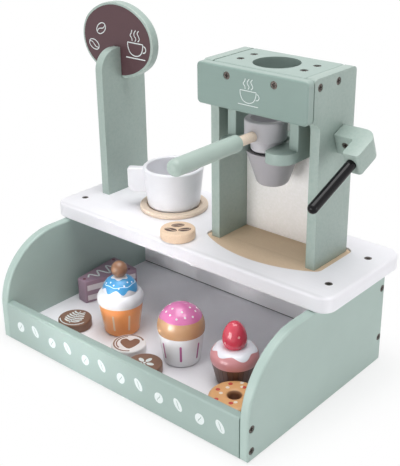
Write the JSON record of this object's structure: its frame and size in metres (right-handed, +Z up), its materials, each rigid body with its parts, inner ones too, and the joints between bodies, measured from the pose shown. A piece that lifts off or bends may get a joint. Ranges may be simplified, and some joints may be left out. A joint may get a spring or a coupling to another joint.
{
  "type": "toy coffee maker",
  "caption": "Wooden play coffee bar: open tray under a counter, with a coffee machine whose filter holder slides out and lever turns, a sign, and loose cup and cakes.",
  "frame": {"origin": "middle of the front board's bottom face, on the table", "axes": "+Z up, -Y towards the child in front, +X towards the machine's side"},
  "size_m": [0.3457, 0.202, 0.2995],
  "materials": {
    "sage_paint": "satin sage-green paint",
    "white_paint": "satin white paint",
    "pale_grey_paint": "pale grey paint, shaded",
    "bare_wood": "clear-coated pale wood",
    "tan_board": "bare board",
    "grey_paint": "satin grey paint",
    "black_gloss": "gloss black paint",
    "dark_steel": "browned steel",
    "coffee_brown": "printed coffee brown",
    "ring_orange": "satin orange-brown paint",
    "slice_mauve": "satin mauve paint",
    "case_orange": "gloss orange paint",
    "nut_brown": "satin brown paint",
    "dome_pink": "gloss pink and tan paint",
    "case_brown": "satin dark brown paint",
    "icing_pink": "gloss dusky pink paint",
    "berry_red": "gloss red paint"
  },
  "bodies": {
    "bar": {"side_panel_left": "sage_paint", "side_panel_right": "sage_paint", "front_board": "sage_paint", "floor_panel": "pale_grey_paint", "back_panel": "pale_grey_paint", "counter_top": "white_paint", "machine_base": "tan_board", "machine_post_left": "sage_paint", "machine_post_right": "sage_paint", "machine_back_panel": "white_paint", "head_top_plate": "sage_paint", "head_front_board": "sage_paint", "cheek_left": "sage_paint", "cheek_right": "sage_paint", "fork_plate": "sage_paint", "spout_bowl": "grey_paint", "sign_post": "sage_paint", "sign_board": "sage_paint", "case_screws": "dark_steel", "counter_screws": "dark_steel", "head_screws": "dark_steel", "base_screws": "dark_steel", "fork_screws": "dark_steel"},
    "filter_holder": {"filter_drum": "grey_paint", "handle_dowel": "bare_wood", "handle_grip": "sage_paint"},
    "lever": {"lever_block": "sage_paint", "lever_axle": "bare_wood", "lever_rod": "black_gloss", "lever_screw": "dark_steel"},
    "coaster": {"coaster": "bare_wood"},
    "cup": {"cup_body": "white_paint", "cup_handle": "white_paint"},
    "bean_disc": {"bean_disc": "bare_wood"},
    "leaf_disc": {"leaf_disc": "coffee_brown"},
    "heart_disc": {"heart_disc": "white_paint"},
    "flower_disc": {"flower_disc": "coffee_brown"},
    "ring_cake": {"ring_cake": "ring_orange"},
    "cake_slice": {"cake_slice": "slice_mauve"},
    "nut_cupcake": {"nut_cupcake_case": "case_orange", "nut_cupcake_icing": "white_paint", "nut_cupcake_nut": "nut_brown"},
    "dome_cupcake": {"dome_cupcake_case": "white_paint", "dome_cupcake_dome": "dome_pink"},
    "berry_cupcake": {"berry_cupcake_case": "case_brown", "berry_cupcake_icing": "icing_pink", "berry_cupcake_berry": "berry_red"}
  },
  "joints": [
    {"name": "filter_slide", "type": "slide", "parent": "bar", "child": "filter_holder", "axis": [0, -1, 0], "range_m": [-0.011, 0.11]},
    {"name": "lever_turn", "type": "hinge", "parent": "bar", "child": "lever", "pos_m": [0.1223, 0.149, 0.2186], "axis": [1, 0, 0], "continuous": true},
    {"name": "coaster_lift", "type": "slide", "parent": "bar", "child": "coaster", "axis": [0.0797, 0, 0.9968], "range_m": [0, 0.1]},
    {"name": "cup_lift", "type": "slide", "parent": "coaster", "child": "cup", "axis": [0.0797, 0, 0.9968], "range_m": [0, 0.12]},
    {"name": "bean_disc_lift", "type": "slide", "parent": "bar", "child": "bean_disc", "axis": [0, 0, 1], "range_m": [0, 0.12]},
    {"name": "leaf_disc_lift", "type": "slide", "parent": "bar", "child": "leaf_disc", "axis": [0, 0, 1], "range_m": [0, 0.12]},
    {"name": "heart_disc_lift", "type": "slide", "parent": "bar", "child": "heart_disc", "axis": [0, 0, 1], "range_m": [0, 0.12]},
    {"name": "flower_disc_lift", "type": "slide", "parent": "bar", "child": "flower_disc", "axis": [0, 0, 1], "range_m": [0, 0.12]},
    {"name": "ring_cake_lift", "type": "slide", "parent": "bar", "child": "ring_cake", "axis": [0.1301, -0.2002, 0.9711], "range_m": [0, 0.12]},
    {"name": "cake_slice_lift", "type": "slide", "parent": "bar", "child": "cake_slice", "axis": [0, -0.7507, 0.6606], "range_m": [0, 0.12]},
    {"name": "nut_cupcake_lift", "type": "slide", "parent": "bar", "child": "nut_cupcake", "axis": [0, -0.2, 0.9798], "range_m": [0, 0.14]},
    {"name": "dome_cupcake_lift", "type": "slide", "parent": "bar", "child": "dome_cupcake", "axis": [0, -0.2, 0.9798], "range_m": [0, 0.14]},
    {"name": "berry_cupcake_lift", "type": "slide", "parent": "bar", "child": "berry_cupcake", "axis": [0, -0.2, 0.9798], "range_m": [0, 0.12]}
  ]
}
